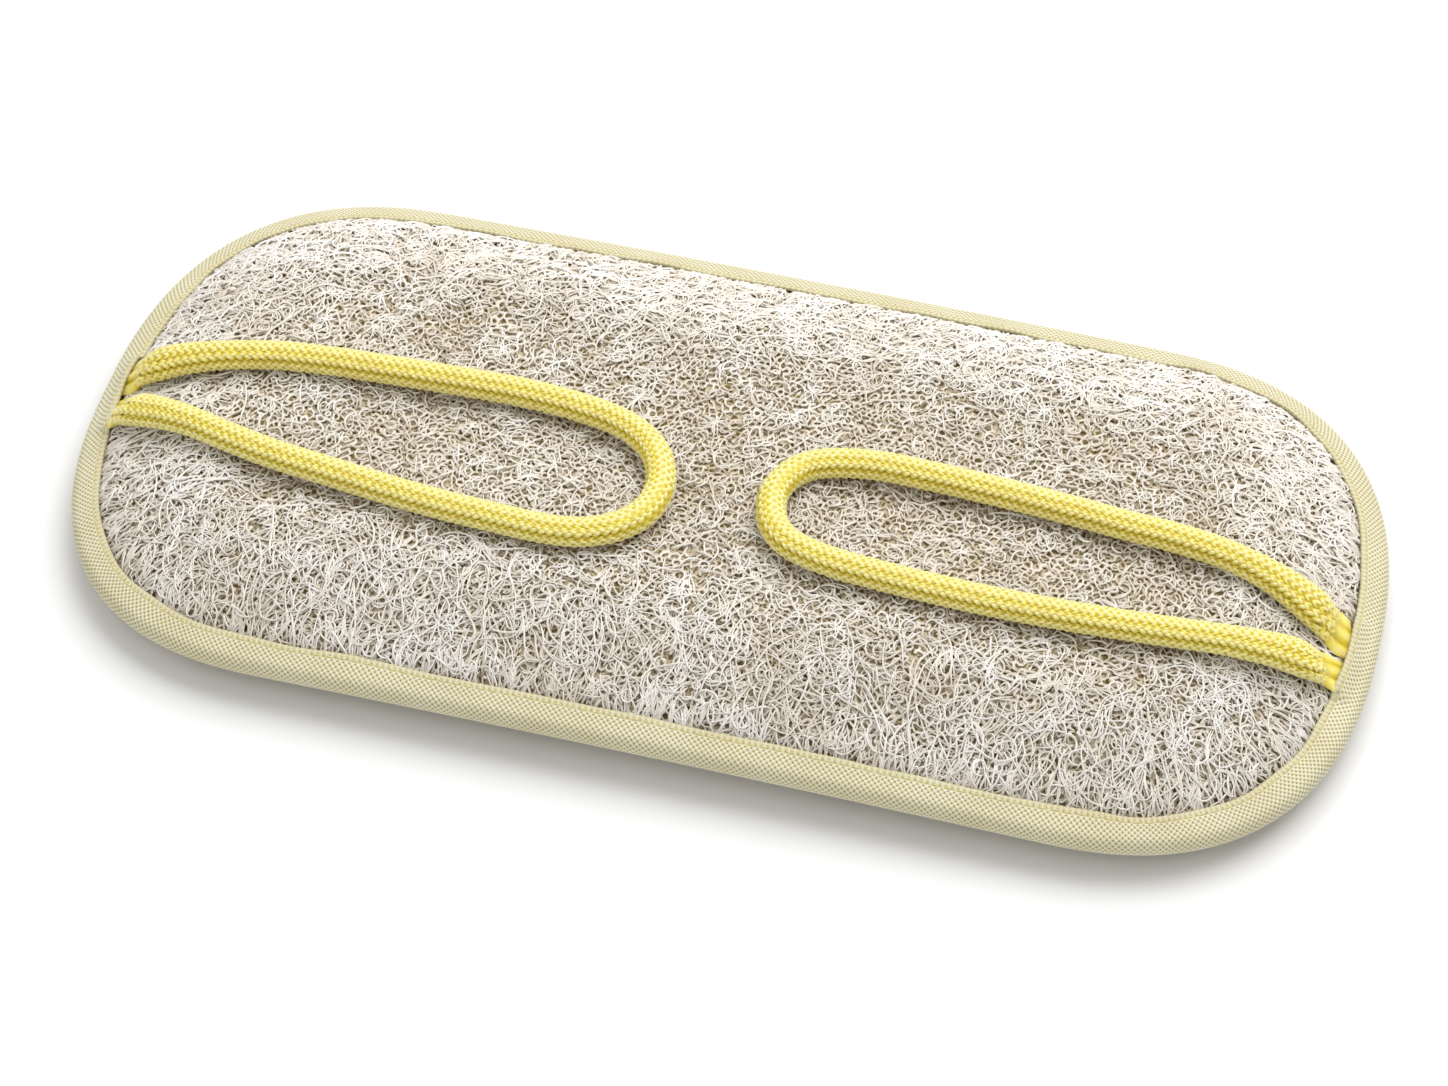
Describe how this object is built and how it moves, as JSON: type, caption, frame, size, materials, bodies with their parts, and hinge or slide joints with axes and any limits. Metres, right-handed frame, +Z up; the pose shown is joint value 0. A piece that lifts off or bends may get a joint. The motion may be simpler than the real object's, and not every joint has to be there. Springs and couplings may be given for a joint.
{
  "type": "loofah bath pad",
  "caption": "Elongated crowned loofah scrubbing pad with a sewn woven tape edge and braided cord hand loops folded over its face.",
  "frame": {"origin": "the middle of the pad's underside, on the surface it lies on", "axes": "+X along the pad's length, +Y across it, +Z up out of the face that the loops lie on"},
  "size_m": [0.3, 0.145, 0.0313],
  "materials": {
    "loofah": "dry, matte plant fibre",
    "binding_tape": "matte ribbed cotton weave",
    "sewing_thread": "matte spun thread",
    "loop_cord": "soft satin braid"
  },
  "bodies": {
    "root": {"loofah_pad": "loofah", "edge_binding": "binding_tape", "front_stitch_thread": "sewing_thread", "back_stitch_thread": "sewing_thread", "left_loop_cord": "loop_cord", "right_loop_cord": "loop_cord"}
  },
  "joints": []
}
